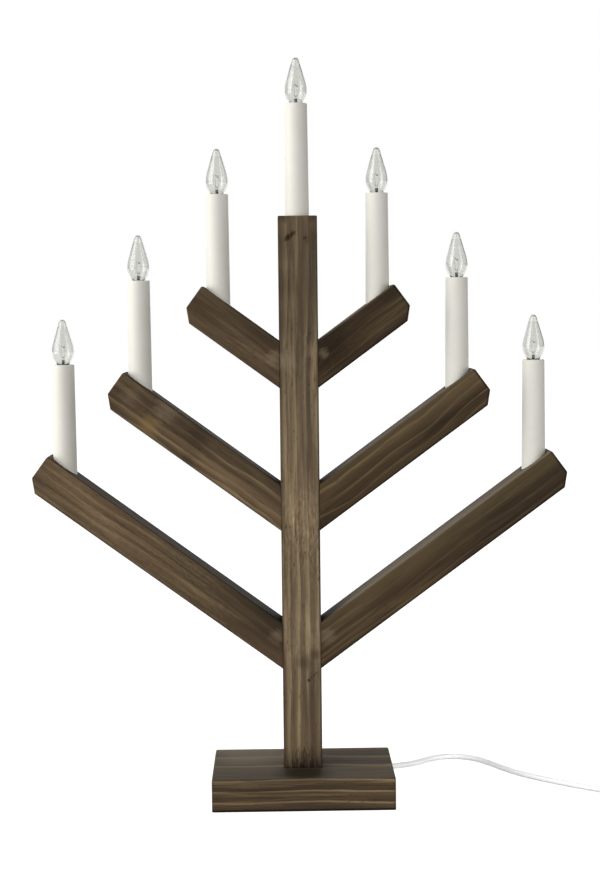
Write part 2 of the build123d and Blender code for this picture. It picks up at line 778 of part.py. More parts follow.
# Coil: half turns that spiral in, climb a layer and spiral out, then a tail to the plug
coil_heading = math.atan2(coil_start_xy[1] - coil_approach[1], coil_start_xy[0] - coil_approach[0])
coil_plane = Plane(
    origin=(*coil_start_xy, 0), x_dir=(math.cos(coil_heading), math.sin(coil_heading), 0), z_dir=(0, 0, 1)
)
coil_pitch = cord_diameter + coil_gap
upper_level = coil_level + coil_pitch
climb_radius = coil_outer_radius - coil_turns_in * coil_pitch / 2


def coil_place(along, across, height):
    return coil_plane.from_local_coords(Vector(along, across, height))


turn_radii = [coil_outer_radius - turn * coil_pitch / 2 for turn in range(coil_turns_in)]
turn_radii += [climb_radius + turn * coil_pitch / 2 for turn in range(coil_turns_out + 1)]
across = 0.0
turn_ends = []
for turn, radius in enumerate(turn_radii):
    swing = 1 if turn % 2 == 0 else -1
    level_in = coil_level if turn <= coil_turns_in else upper_level
    level_out = coil_level if turn < coil_turns_in else upper_level
    reach = math.hypot(2 * radius, level_out - level_in) / 2
    turn_ends.append(
        (
            coil_place(cord_diameter, across, level_in),
            coil_place(cord_diameter + swing * reach, across + swing * radius, (level_in + level_out) / 2),
            coil_place(cord_diameter, across + swing * 2 * radius, level_out),
        )
    )
    across += swing * 2 * radius
coil_end = turn_ends[-1][2]
plug_level = floor_clearance + plug_body_thickness / 2
tail_levels = (upper_level - tail_sag, plug_level, plug_level)
tail_points = [coil_end, coil_place(cord_diameter - tail_run, across, upper_level)]
for heading, height in zip(tail_headings, tail_levels):
    last = tail_points[-1]
    turn = math.radians(heading)
    tail_points.append(Vector(last.X + tail_run * math.cos(turn), last.Y + tail_run * math.sin(turn), height))
tail_radii = bend_radii(tail_points)
print("coil radii:", ", ".join(f"{radius:.1f}" for radius in turn_radii))
print("tail radii:", ", ".join(f"{radius:.1f}" for radius in tail_radii))
with BuildPart() as cord_coil:
    with BuildLine() as coil_path:
        Line(coil_start, turn_ends[0][0])
        for start, middle, end in turn_ends:
            ThreePointArc(start, middle, end)
        FilletPolyline(*tail_points, radius=tail_radii)
    with BuildSketch(Plane(origin=coil_start, z_dir=coil_plane.x_dir)):
        Circle(cord_radius)
    sweep()
save(cord_coil, "cord_coil")
report_tube("cord_coil", cord_coil, coil_path)

# Least gap between the coil's turns, measured on points along its middle line
gap_step = cord_diameter / 3
coil_middle = Wire(coil_path.edges())
gap_count = round(coil_middle.length / gap_step)
gap_points = [tuple(coil_middle.position_at(index / gap_count)) for index in range(gap_count + 1)]
neighbours = round(3 * cord_diameter / gap_step)
least_gap = min(
    math.dist(gap_points[first], gap_points[second])
    for first in range(gap_count)
    for second in range(first + neighbours, gap_count + 1)
)
print(f"coil's least gap to itself: {least_gap - cord_diameter:.2f}")

# Tie round the coil's turns
tie_inner = climb_radius - cord_radius - tie_clearance
tie_outer = coil_outer_radius + cord_radius + tie_clearance
tie_hole_width = tie_outer - tie_inner
tie_hole_height = upper_level - coil_level + cord_diameter + 2 * tie_clearance
tie_middle = coil_place(
    cord_diameter + (tie_inner + tie_outer) / 2, coil_outer_radius + tie_width / 2, (coil_level + upper_level) / 2
)
with BuildPart() as coil_tie:
    with BuildSketch(Plane(origin=tie_middle, x_dir=coil_plane.x_dir, z_dir=-coil_plane.y_dir)):
        RectangleRounded(
            tie_hole_width + 2 * tie_thickness,
            tie_hole_height + 2 * tie_thickness,
            tie_corner_radius + tie_thickness,
        )
        RectangleRounded(tie_hole_width, tie_hole_height, tie_corner_radius, mode=Mode.SUBTRACT)
    extrude(amount=tie_width)
save(coil_tie, "coil_tie")

# Two-pin plug: a flat moulded body with a ringed boot, lying beside the coil
plug_angle = math.radians(tail_headings[-1])
plug_direction = Vector(math.cos(plug_angle), math.sin(plug_angle), 0)
plug_across = Vector(-math.sin(plug_angle), math.cos(plug_angle), 0)
plug_plane = Plane(origin=tail_points[-1], x_dir=plug_direction, z_dir=(0, 0, 1))
plug_front = plug_boot_length + plug_body_length
ring_pitch = plug_boot_length / (2 * plug_boot_rings + 1)
boot_slope = (plug_boot_diameter - plug_boot_end_diameter) / 2 / plug_boot_length
boot_profile = [(0, 0)]
for step in range(2 * plug_boot_rings + 1):
    for place in (step * ring_pitch, (step + 1) * ring_pitch):
        depth = plug_boot_ring_depth if step % 2 else 0
        boot_profile.append((place, plug_boot_end_diameter / 2 + boot_slope * place - depth))
boot_profile.append((plug_boot_length, 0))
with BuildPart() as plug_body:
    with BuildSketch(plug_plane.offset(-plug_body_thickness / 2)):
        with BuildLine():
            Polyline(
                (plug_boot_length, -plug_boot_diameter / 2),
                (plug_front - plug_body_shoulder, -plug_body_width / 2),
                (plug_front, -plug_body_width / 2),
                (plug_front, plug_body_width / 2),
                (plug_front - plug_body_shoulder, plug_body_width / 2),
                (plug_boot_length, plug_boot_diameter / 2),
                close=True,
            )
        make_face()
    extrude(amount=plug_body_thickness)
    front_edges = plug_body.faces().sort_by(Axis(tail_points[-1], plug_direction))[-1].edges()
    fillet(plug_body.edges() - front_edges, plug_body_edge)
    with BuildSketch(Plane(origin=tail_points[-1], x_dir=plug_direction, z_dir=-plug_across)):
        with BuildLine():
            Polyline(*boot_profile, close=True)
        make_face()
    revolve(axis=Axis(tail_points[-1], plug_direction))
save(plug_body, "plug_body")

# Plug pins
pin_plane = Plane(
    origin=plug_plane.from_local_coords(Vector(plug_front, 0, 0)), x_dir=plug_across, z_dir=plug_direction
)
with BuildPart() as plug_pins:
    with BuildSketch(pin_plane):
        with Locations((-pin_spacing / 2, 0), (pin_spacing / 2, 0)):
            Circle(pin_diameter / 2)
    extrude(amount=pin_length)
    fillet(plug_pins.edges().group_by(Axis(tail_points[-1], plug_direction))[-1], pin_tip_radius)
save(plug_pins, "plug_pins")
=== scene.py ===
import math
import random

import bmesh
import bpy
from mathutils import Matrix, Vector


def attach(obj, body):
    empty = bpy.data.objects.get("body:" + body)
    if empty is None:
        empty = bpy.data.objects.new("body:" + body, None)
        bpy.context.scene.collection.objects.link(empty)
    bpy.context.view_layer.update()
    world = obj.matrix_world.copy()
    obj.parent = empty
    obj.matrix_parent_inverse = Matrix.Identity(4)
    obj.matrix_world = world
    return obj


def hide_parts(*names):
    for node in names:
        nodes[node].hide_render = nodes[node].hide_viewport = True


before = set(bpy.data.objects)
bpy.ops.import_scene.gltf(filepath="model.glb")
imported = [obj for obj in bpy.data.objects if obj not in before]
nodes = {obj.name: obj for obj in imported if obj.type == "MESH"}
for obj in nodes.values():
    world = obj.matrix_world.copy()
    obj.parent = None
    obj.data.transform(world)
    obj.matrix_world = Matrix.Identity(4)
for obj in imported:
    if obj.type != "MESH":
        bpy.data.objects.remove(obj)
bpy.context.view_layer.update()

MM = 0.001
random.seed(7)

# Sizes repeated from part.py, in millimetres
base_size = (131.0, 85.0, 23.5)
timber = 28.0
post_length = 398.5
arm_height = 27.2
arm_slope = math.radians(36.26)
arm_share = {"lower": 0.2, "middle": 0.4517, "upper": 0.7094}
candle_reach = {"lower": 169.6, "middle": 114.3, "upper": 57.2}
arm_end_setback, arm_end_chamfer = 13.8, 8.0
sleeve_length, sleeve_rim, sleeve_foot = 90.0, 15.9, 17.3
sleeve_bore, sleeve_opening, sleeve_lip = 12.9, 10.8, 1.6
seat_radius, arm_seat_depth, post_seat_depth = 8.8, 16.8, 10.0
wire_hole_drop, groove_depth = 3.6, 5.6
wire_radius, wire_pitch, wire_clearance = 0.9, 2.2, 0.1
cord_radius, cord_level, cord_y = 2.1, 5.4, 10.7
sheath_gap = 12.0
dowel_diameter = 8.0
rear = timber / 2
sides = {"left": -1, "right": 1}

base_height = base_size[2]
post_top = base_height + post_length
timber_half, arm_half = timber / 2, arm_height / 2
arm_axis = {level: base_height + share * post_length for level, share in arm_share.items()}
arm_face_lift = arm_half / math.cos(arm_slope)
candles = {"top": (0.0, post_top - post_seat_depth)}
for level, reach in candle_reach.items():
    seat = arm_axis[level] + reach * math.tan(arm_slope) + arm_face_lift - arm_seat_depth
    for side, sign in sides.items():
        candles[f"{level}_{side}"] = (sign * reach, seat)


# Helpers for objects

def link(obj, body, replaced=()):
    """Puts a finished object in the scene on its body and the nodes it stands for."""
    if obj.name not in bpy.context.scene.collection.objects:
        bpy.context.scene.collection.objects.link(obj)
    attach(obj, body)
    if replaced:
        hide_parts(*replaced)


def mesh_object(name, bm, *materials, smooth_angle=40, flip=True):
    """Makes an object from a bmesh in millimetres, smooth-shaded except at sharp edges."""
    if flip:
        bmesh.ops.recalc_face_normals(bm, faces=bm.faces)
    bmesh.ops.scale(bm, vec=(MM, MM, MM), verts=bm.verts)
    mesh = bpy.data.meshes.new(name)
    bm.to_mesh(mesh)
    bm.free()
    for face in mesh.polygons:
        face.use_smooth = True
    mesh.set_sharp_from_angle(angle=math.radians(smooth_angle))
    for material in materials:
        mesh.materials.append(material)
    return bpy.data.objects.new(name, mesh)


def lathe(bm, profile, place, segments=48, closed=False, ripple=None, slot=0):
    """Turns a profile of (radius, height) points about an upright axis through place."""
    rings = []
    for radius, height in profile:
        z = place[2] + height
        if radius < 1e-6:
            rings.append([bm.verts.new((place[0], place[1], z))])
            continue
        ring = []
        for step in range(segments):
            turn = 2 * math.pi * step / segments
            wide = radius + (ripple(turn, height) if ripple else 0)
            ring.append(bm.verts.new((place[0] + wide * math.cos(turn), place[1] + wide * math.sin(turn), z)))
        rings.append(ring)
    pairs = list(zip(rings, rings[1:]))
    if closed:
        pairs.append((rings[-1], rings[0]))
    for low, high in pairs:
        for step in range(segments):
            after = (step + 1) % segments
            corners = [low[step % len(low)], low[after % len(low)]]
            corners += [high[after % len(high)], high[step % len(high)]]
            corners = list(dict.fromkeys(corners))
            if len(corners) > 2:
                bm.faces.new(corners).material_index = slot


def arc(centre, radius, start, end, steps):
    """Points of an arc in a profile, angles in degrees from the outward direction."""
    points = []
    for step in range(steps + 1):
        angle = math.radians(start + (end - start) * step / steps)
        points.append((centre[0] + radius * math.cos(angle), centre[1] + radius * math.sin(angle)))
    return points


def curve_object(name, splines, radius, material, order=3, resolution=8, bevel=4):
    """Round wire or cord along NURBS splines whose control points are in millimetres."""
    curve = bpy.data.curves.new(name, "CURVE")
    curve.dimensions = "3D"
    curve.bevel_depth = radius * MM
    curve.bevel_resolution = bevel
    curve.resolution_u = resolution
    curve.use_fill_caps = True
    for points in splines:
        spline = curve.splines.new("NURBS")
        spline.points.add(len(points) - 1)
        for control, point in zip(spline.points, points):
            control.co = (point[0] * MM, point[1] * MM, point[2] * MM, 1)
        spline.order_u = order
        spline.use_endpoint_u = True
    curve.materials.append(material)
    return bpy.data.objects.new(name, curve)


# Helpers for materials

def colour(code):
    """Linear colour of a hex code."""
    parts = [int(code[i:i + 2], 16) / 255 for i in (1, 3, 5)]
    return [p / 12.92 if p <= 0.04045 else ((p + 0.055) / 1.055) ** 2.4 for p in parts] + [1.0]


class Finish:
    """A procedural material and short ways to add its nodes."""

    def __init__(self, name, **sockets):
        self.material = bpy.data.materials.new(name)
        self.material.use_nodes = True
        self.tree = self.material.node_tree
        self.shader = self.tree.nodes["Principled BSDF"]
        for key, value in sockets.items():
            self.shader.inputs[key.replace("_", " ")].default_value = value

    def add(self, kind, values=None, **settings):
        node = self.tree.nodes.new(kind)
        for key, value in settings.items():
            setattr(node, key, value)
        for key, value in (values or {}).items():
            self.feed(node.inputs[key], value)
        return node

    def feed(self, socket, value):
        if isinstance(value, bpy.types.NodeSocket):
            self.tree.links.new(value, socket)
        else:
            socket.default_value = value

    def sum(self, operation, *values):
        node = self.add("ShaderNodeMath", operation=operation)
        for socket, value in zip(node.inputs, values):
            self.feed(socket, value)
        return node.outputs[0]

    def noise(self, vector, scale, detail=3.0, roughness=0.55):
        values = {"Vector": vector, "Scale": scale, "Detail": detail, "Roughness": roughness}
        return self.add("ShaderNodeTexNoise", values).outputs["Fac"]

    def stretch(self, vector, scale):
        return self.add("ShaderNodeVectorMath", {0: vector, 1: scale}, operation="MULTIPLY").outputs[0]

    def distance(self, vector, point):
        return self.add("ShaderNodeVectorMath", {0: vector, 1: point}, operation="DISTANCE").outputs["Value"]

    def ramp(self, factor, stops):
        node = self.add("ShaderNodeValToRGB", {"Fac": factor})
        ramp = node.color_ramp
        while len(ramp.elements) < len(stops):
            ramp.elements.new(0.5)
        for element, (place, value) in zip(ramp.elements, stops):
            element.position = place
            element.color = (value, value, value, 1)
        return node.outputs["Color"]

    def mix(self, factor, first, second, blend="MIX"):
        node = self.add("ShaderNodeMix", data_type="RGBA", blend_type=blend)
        self.feed(node.inputs["Factor"], factor)
        self.feed(node.inputs[6], first)
        self.feed(node.inputs[7], second)
        return node.outputs[2]

    def span(self, value, low, high, to_low=0.0, to_high=1.0):
        values = {"Value": value, "From Min": low, "From Max": high, "To Min": to_low, "To Max": to_high}
        return self.add("ShaderNodeMapRange", values).outputs[0]

    def bump(self, height, strength, distance):
        values = {"Height": height, "Strength": strength, "Distance": distance}
        self.feed(self.shader.inputs["Normal"], self.add("ShaderNodeBump", values).outputs[0])

    def paint(self, value):
        self.feed(self.shader.inputs["Base Color"], value)

    def gloss(self, value):
        self.feed(self.shader.inputs["Roughness"], value)

    def place(self):
        return self.add("ShaderNodeTexCoord").outputs["Object"]


# Brightness across one growth ring, from its start to the next
thin_ring = [(0.0, 0.0), (0.4, 0.0), (0.78, 0.18), (0.9, 0.85), (0.96, 1.0), (1.0, 0.0)]
soft_ring = [(0.0, 0.05), (0.25, 0.0), (0.5, 0.2), (0.75, 0.8), (0.9, 1.0), (1.0, 0.05)]
# the second colour darkens the upper part of an arm's front face, most near the post
stain_red, upper_band_dark, fade_shade = "#5b3f2f", "#2b241b", "#2e261d"
# the second colour is used for darker edge stain and for painted shade and shadows
pit_brown, dark_stain_and_shade = "#241c14", "#17120d"


class Timber(Finish):
    """Stained pine of one bar. Its axis rises at turn from foot, a height on the middle line, and half is its
    half section, depth first. Each step from stain to edges lays its colour over that of the steps before."""

    def __init__(self, name, tone, seed, half, turn=0.0, mirror=1, foot=0.0):
        super().__init__(name, Roughness=0.6, Specular_IOR_Level=0.06)
        self.dark, self.middle, self.light = (colour(code) for code in tone)
        self.half_depth, self.half_height = half[0] * MM, half[1] * MM
        self.spot = self.place()
        shift = (-foot * MM * math.sin(turn), 0, -foot * MM * math.cos(turn))
        values = {"Vector": self.spot, "Location": shift, "Rotation": (0, turn, 0), "Scale": (mirror, 1, 1)}
        along = self.add("ShaderNodeMapping", values).outputs[0]
        self.run, self.depth, self.height = self.add("ShaderNodeSeparateXYZ", {"Vector": along}).outputs
        pick = random.Random(seed)
        self.offset = [pick.uniform(2, 6) for axis in range(3)]
        self.grain = self.add("ShaderNodeVectorMath", {0: along, 1: self.offset}, operation="ADD").outputs[0]
        self.warmth = self.field(12.0, 40.0, 3.0)
        self.streak = self.field(11.0, 330.0, 4.0, 0.6)
        self.fibre = self.field(30.0, 1100.0, 4.0, 0.62)
        self.pits = self.field(220.0, 900.0, 1.0)
        self.from_top = self.sum("SUBTRACT", self.half_height, self.height)
        self.from_bottom = self.sum("ADD", self.half_height, self.height)
        self.on_top = self.span(self.from_top, 0.0003, 0.0009, 1.0, 0.0)

    def field(self, along, across, detail, roughness=0.55):
        """Noise drawn out along the grain."""
        return self.noise(self.stretch(self.grain, (along, across, across)), 1.0, detail, roughness)

    def from_axis(self, x, y):
        """Distance from an upright axis."""
        return self.distance(self.stretch(self.spot, (1, 1, 0)), (x * MM, y * MM, 0))

    def grow(self, pith, pitch, sway=6.0, wave=0.45, start=0.0, soft=False, even=0.15):
        """Growth rings about a pith outside the bar, uneven in width and strength and wavering along it."""
        drift = self.sum("SUBTRACT", self.field(8.0, 9.0, 1.0), 0.5)
        waver = self.sum("SUBTRACT", self.field(14.0, 60.0, 3.0), 0.5)
        ring_y = self.sum("ADD", self.depth, pith[0] * MM)
        ring_z = self.sum("ADD", self.height, self.sum("MULTIPLY", drift, 2 * sway * MM))
        ring_z = self.sum("SUBTRACT", ring_z, pith[1] * MM)
        squares = self.sum("ADD", self.sum("MULTIPLY", ring_y, ring_y), self.sum("MULTIPLY", ring_z, ring_z))
        phase = self.sum("MULTIPLY", self.sum("SQRT", squares), 1 / MM / pitch)
        phase = self.sum("ADD", phase, self.sum("MULTIPLY", waver, wave))
        phase = self.sum("ADD", phase, start)
        year = self.sum("MULTIPLY", self.sum("FLOOR", phase), 5.37)
        values = {0: year, 1: self.sum("MULTIPLY", self.run, 7.0), 2: self.offset[0]}
        year_place = self.add("ShaderNodeCombineXYZ", values).outputs[0]
        strong = self.span(self.noise(year_place, 1.0, 2.0), 0.36, 0.62, even, 1.0)
        self.late = self.ramp(self.sum("FRACT", phase), soft_ring if soft else thin_ring)
        self.rings = self.sum("MULTIPLY", self.late, strong)

    def stain(self, lines, streaks=1.0):
        """Uneven stain with streaks, pale rings, fibres and pits; lines and streaks are strengths."""
        blotch = self.field(9.0, 75.0, 4.0, 0.6)
        tint = self.mix(self.span(blotch, 0.34, 0.64), self.dark, self.middle)
        tint = self.mix(self.span(self.warmth, 0.45, 0.72, 0.0, 0.4), tint, colour(stain_red))
        tint = self.mix(self.span(self.streak, 0.5, 0.68, 0.0, 0.55 * streaks), tint, self.dark)
        tint = self.mix(self.span(self.streak, 0.46, 0.33, 0.0, 0.3 * streaks), tint, self.light)
        tint = self.mix(self.sum("MULTIPLY", self.rings, lines), tint, self.light)
        tint = self.mix(self.span(self.fibre, 0.46, 0.68, 0.0, 0.5), tint, self.dark)
        self.tint = self.mix(self.span(self.pits, 0.7, 0.78, 0.0, 0.6), tint, colour(pit_brown))

    def shade(self, upper, fade):
        """Darkens the upper part and the outer end. A negative upper makes that part paler instead, and a
        negative fade darkens the end at the post."""
        ragged = self.sum("MULTIPLY", self.sum("SUBTRACT", self.warmth, 0.5), 0.02)
        band = self.span(self.sum("ADD", self.height, ragged), -0.003, 0.011, 0.0, abs(upper))
        far_run, at_post, at_end = (0.2, 1.0, 0.25) if upper > 0 else (0.1, 0.5, 1.0)
        band = self.sum("MULTIPLY", band, self.span(self.run, 0.02, far_run, at_post, at_end))
        self.tint = self.mix(band, self.tint, colour(upper_band_dark) if upper > 0 else self.light)
        if fade:
            share = self.span(self.run, 0.03, 0.2, max(0.0, -fade), max(0.0, fade))
            self.tint = self.mix(share, self.tint, colour(fade_shade))

    def near_spot(self, x, z, radius, strength):
        """Share of a ragged round spot on the front face."""
        gap = self.distance(self.spot, (x * MM, -self.half_depth, z * MM))
        ragged = self.sum("ADD", self.sum("MULTIPLY", self.streak, 1.3), self.sum("MULTIPLY", self.pits, 0.9))
        gap = self.sum("ADD", gap, self.sum("MULTIPLY", self.sum("SUBTRACT", ragged, 1.1), radius * MM))
        return self.span(gap, radius * MM, 0.25 * radius * MM, 0.0, strength)

    def gain(self, x, z, radius, factor):
        """Brightens or darkens a part of the front face."""
        share = self.near_spot(x, z, radius, 1.0)
        self.tint = self.mix(share, self.tint, (factor, factor, factor, 1.0), "MULTIPLY")

    def mark(self, x, z, radius, code, strength):
        """A rubbed place or a knot on the front face."""
        self.tint = self.mix(self.near_spot(x, z, radius, strength), self.tint, colour(code))

    def top_face_painted_light(self, code, lines=0.0):
        """Painted light of the top face, a sheen or a shade given as a colour, with pale rings of that
        strength.
        """
        painted_share = self.span(self.streak, 0.35, 0.65, 0.9, 0.45)
        self.tint = self.mix(self.sum("MULTIPLY", self.on_top, painted_share), self.tint, colour(code))
        if lines:
            shown = self.sum("MULTIPLY", self.on_top, self.sum("MULTIPLY", self.rings, lines))
            self.tint = self.mix(shown, self.tint, self.light)

    def painted_top_shading(self, x, y, radius, code, strength):
        """A soft spot of painted light, or of painted shadow, on the top face alone; its colour decides
        which.
        """
        uneven = self.sum("MULTIPLY", self.sum("SUBTRACT", self.streak, 0.5), 0.3 * radius * MM)
        gap = self.sum("ADD", self.from_axis(x, y), uneven)
        share = self.span(gap, radius * MM, 0.35 * radius * MM, 0.0, strength)
        self.tint = self.mix(self.sum("MULTIPLY", share, self.on_top), self.tint, colour(code))

    def painted_floor_shadow(self, share):
        """A painted contact shadow: a dark line along the bottom, where the base stands on the floor."""
        line = self.span(self.from_bottom, 0.001, 0.002, share, 0.0)
        self.tint = self.mix(line, self.tint, colour(dark_stain_and_shade))

    def edges(self, width, share, ends, dark_front=False, chamfer=0.0, seat=None):
        """Darker stain along the eased edges and at an arm's cut end, with painted shade where the post
        stands on the base and round the candle's seat on an arm.
        """
        from_side = self.sum("SUBTRACT", self.half_depth, self.sum("ABSOLUTE", self.depth))
        from_back = self.sum("SUBTRACT", self.half_depth, self.depth)
        from_start = self.sum("SUBTRACT", self.run, ends[0] * MM)
        from_end = self.sum("SUBTRACT", ends[1] * MM, self.run)
        upper_edge = self.sum("MAXIMUM", from_side if dark_front else from_back, self.from_top)
        lower_edge = self.sum("MAXIMUM", from_side, self.from_bottom)
        edge = self.sum("MINIMUM", lower_edge, upper_edge)
        edge = self.sum("MINIMUM", edge, self.sum("MINIMUM", from_end, from_start))
        if chamfer:
            from_chamfer = self.sum("SUBTRACT", self.sum("ADD", from_end, self.from_bottom), chamfer * MM)
            edge = self.sum("MINIMUM", edge, self.sum("MULTIPLY", from_chamfer, 0.7))
        # painted shade round the candle's seat
        if seat is not None:
            from_seat = self.sum("SUBTRACT", self.from_axis(seat, 0), seat_radius * MM)
            edge = self.sum("MINIMUM", edge, from_seat)
        stained = self.span(edge, 0.4 * width * MM, width * MM, share, 0.0)
        if chamfer:
            cut = self.sum("MINIMUM", from_end, from_chamfer)
            stained = self.sum("MULTIPLY", stained, self.span(cut, 0.0001, 0.0004, 0.45, 1.0))
        self.tint = self.mix(stained, self.tint, colour(dark_stain_and_shade))

    def done(self):
        """Connects the tint and gives the surface its gloss and relief."""
        self.paint(self.tint)
        self.gloss(self.span(self.fibre, 0.3, 0.7, 0.5, 0.68))
        ring_relief = self.sum("MULTIPLY", self.late, 0.35)
        fibre_relief = self.sum("MULTIPLY", self.fibre, 0.65)
        self.bump(self.sum("ADD", ring_relief, fibre_relief), 0.25, 0.0004)
        return self.material


def plastic(name, code, shade_code, roughness, grain=900.0, bump=0.06):
    """Moulded plastic with slight mottling and a fine grain."""
    f = Finish(name)
    cloud = f.noise(f.place(), 60.0, 3.0)
    f.paint(f.mix(f.span(cloud, 0.35, 0.7, 0.0, 0.5), colour(code), colour(shade_code)))
    fine = f.noise(f.place(), grain, 2.0)
    f.gloss(f.span(fine, 0.3, 0.7, roughness - 0.05, roughness + 0.06))
    f.bump(fine, bump, 0.0003)
    return f.material


def metal(name, code, worn_code, roughness):
    """Plated metal with faint stains and drawing lines."""
    f = Finish(name, Metallic=1.0)
    stain = f.noise(f.place(), 160.0, 4.0)
    f.paint(f.mix(f.span(stain, 0.4, 0.75), colour(code), colour(worn_code)))
    fine = f.noise(f.stretch(f.place(), (300.0, 300.0, 2500.0)), 1.0, 2.0)
    f.gloss(f.span(fine, 0.3, 0.7, roughness, roughness + 0.15))
    return f.material


# Camera, solved from the photograph's 600 by 870 frame
camera_place = Vector((-13.589, -1232.504, 356.713)) * MM
yaw, dip, roll = (math.radians(a) for a in (0.651, 4.259, -0.623))
focal_pixels, frame_pixels, sensor_height = 1707.838, 870, 36.0
forward = Vector((math.sin(yaw) * math.cos(dip), math.cos(yaw) * math.cos(dip), -math.sin(dip)))
level_right = Vector((math.cos(yaw), -math.sin(yaw), 0))
level_up = level_right.cross(forward)
right = math.cos(roll) * level_right + math.sin(roll) * level_up
up = math.cos(roll) * level_up - math.sin(roll) * level_right
camera_data = bpy.data.cameras.new("camera")
camera_data.sensor_fit = "VERTICAL"
camera_data.sensor_height = sensor_height
camera_data.lens = focal_pixels * sensor_height / frame_pixels
camera_data.clip_end = 50
camera = bpy.data.objects.new("camera", camera_data)
camera.matrix_world = Matrix.Translation(camera_place) @ Matrix((right, up, -forward)).transposed().to_4x4()
bpy.context.scene.collection.objects.link(camera)
bpy.context.scene.camera = camera

# Cord: the lead on the table, the put-away coil and the tail to the plug, on one spline
cord_white = plastic("cord_white", "#f8f8f7", "#f1f1f0", 0.45)
exit_turn = math.radians(33.0)
exit_inset, free_run = 4.0, 24.0
exit_run = (base_size[1] / 2 - cord_y) / math.sin(exit_turn) - exit_inset
table_level = 2.2
coil_approach, coil_start = (231.0, -18.5), (246.0, -33.0)
coil_lower, coil_upper, coil_step = 3.2, 7.85, 2.325
coil_outer_radius, coil_inner_radius = 35.6, 17.0
coil_ahead = 2 * cord_radius
half_turns_in = 8
half_turns_out = 7  # the first of them climbs to the upper layer
points_per_half = 8
tail_run = 15.0
tail_route = ((111.0, 7.05), (86.0, 6.95), (62.0, 6.95))  # heading in degrees from +X, height


def out_of_base(run):
    """A place on the straight line by which the cord leaves the base."""
    return (run * math.cos(exit_turn), cord_y + run * math.sin(exit_turn), cord_level)


cord_exit = out_of_base(exit_run)
cord_points = [
    cord_exit,
    out_of_base(exit_run + free_run),
    (85.0, 70.6, table_level),
    (101.0, 86.2, table_level),
    (113.1, 92.1, table_level),
    (125.6, 91.7, table_level),
    (136.5, 84.6, table_level),
    (144.5, 73.1, table_level),
    (155.5, 53.5, table_level),
    (168.0, 35.8, table_level),
    (190.0, 15.5, table_level),
    (213.0, -3.0, table_level),
    (*coil_approach, coil_lower),
    (*coil_start, coil_lower),
]
coil_turn = math.atan2(coil_start[1] - coil_approach[1], coil_start[0] - coil_approach[0])
coil_radii = [coil_outer_radius - coil_step * k for k in range(half_turns_in)]
coil_radii += [coil_inner_radius + coil_step * k for k in range(half_turns_out)]
corner_grow = 1 / math.cos(math.pi / points_per_half / 2)


def coil_place(along, across, height):
    """A place in the coil, measured from its start along and across the way in."""
    x = coil_start[0] + along * math.cos(coil_turn) - across * math.sin(coil_turn)
    y = coil_start[1] + along * math.sin(coil_turn) + across * math.cos(coil_turn)
    return (x, y, height)


coil_across = 0.0
for half_turn, radius in enumerate(coil_radii):
    bow = radius if half_turn % 2 == 0 else -radius
    for step in range(points_per_half):
        part = (step + 0.5) / points_per_half
        layer = coil_lower if half_turn < half_turns_in else coil_upper
        if half_turn == half_turns_in:
            layer = coil_lower + (coil_upper - coil_lower) * part
        out = coil_ahead + bow * corner_grow * math.sin(math.pi * part)
        beside = coil_across + bow - bow * corner_grow * math.cos(math.pi * part)
        cord_points.append(coil_place(out, beside, layer))
    coil_across += 2 * bow
tail = coil_place(coil_ahead - tail_run, coil_across, coil_upper)
cord_points.append(coil_place(coil_ahead, coil_across, coil_upper))
cord_points.append(tail)
for heading, level in tail_route:
    turn = math.radians(heading)
    tail = (tail[0] + tail_run * math.cos(turn), tail[1] + tail_run * math.sin(turn), level)
    cord_points.append(tail)
lead = curve_object("mains_lead", [cord_points], cord_radius, cord_white, bevel=5)
link(lead, "frame", ["cord_lead", "cord_coil"])

# Floor, a plain pale table that doesn't colour the object
floor_half, floor_drop = 12.0, 0.0002
floor_finish = Finish("floor_white", Roughness=0.9, Emission_Strength=0.92)
floor_cloud = floor_finish.noise(floor_finish.place(), 3.0, 2.0)
floor_finish.paint(floor_finish.mix(floor_cloud, colour("#b4b4b4"), colour("#b0b0b0")))
floor_finish.shader.inputs["Emission Color"].default_value = (1, 1, 1, 1)
floor_mesh = bpy.data.meshes.new("floor")
floor_corners = [(x * floor_half, y * floor_half, 0) for x, y in ((-1, -1), (1, -1), (1, 1), (-1, 1))]
floor_mesh.from_pydata(floor_corners, [], [(0, 1, 2, 3)])
floor_mesh.materials.append(floor_finish.material)
floor = bpy.data.objects.new("floor", floor_mesh)
floor.location.z = -floor_drop
floor.visible_diffuse = False
bpy.context.scene.collection.objects.link(floor)

# Soft studio light: a key from the left, a dim right side and a white backdrop
world = bpy.data.worlds.new("studio")
bpy.context.scene.world = world
world.use_nodes = True
tree = world.node_tree


def world_node(kind, values=None, **settings):
    """Adds a node to the world, with its inputs linked or set."""
    node = tree.nodes.new(kind)
    for key, value in settings.items():
        setattr(node, key, value)
    for key, value in (values or {}).items():
        if isinstance(value, bpy.types.NodeSocket):
            tree.links.new(value, node.inputs[key])
        else:
            node.inputs[key].default_value = value
    return node


def rise(value, low, high, to_low, to_high):
    """Smooth step from one level to another."""
    limits = {"Value": value, "From Min": low, "From Max": high, "To Min": to_low, "To Max": to_high}
    return world_node("ShaderNodeMapRange", limits, interpolation_type="SMOOTHSTEP").outputs[0]


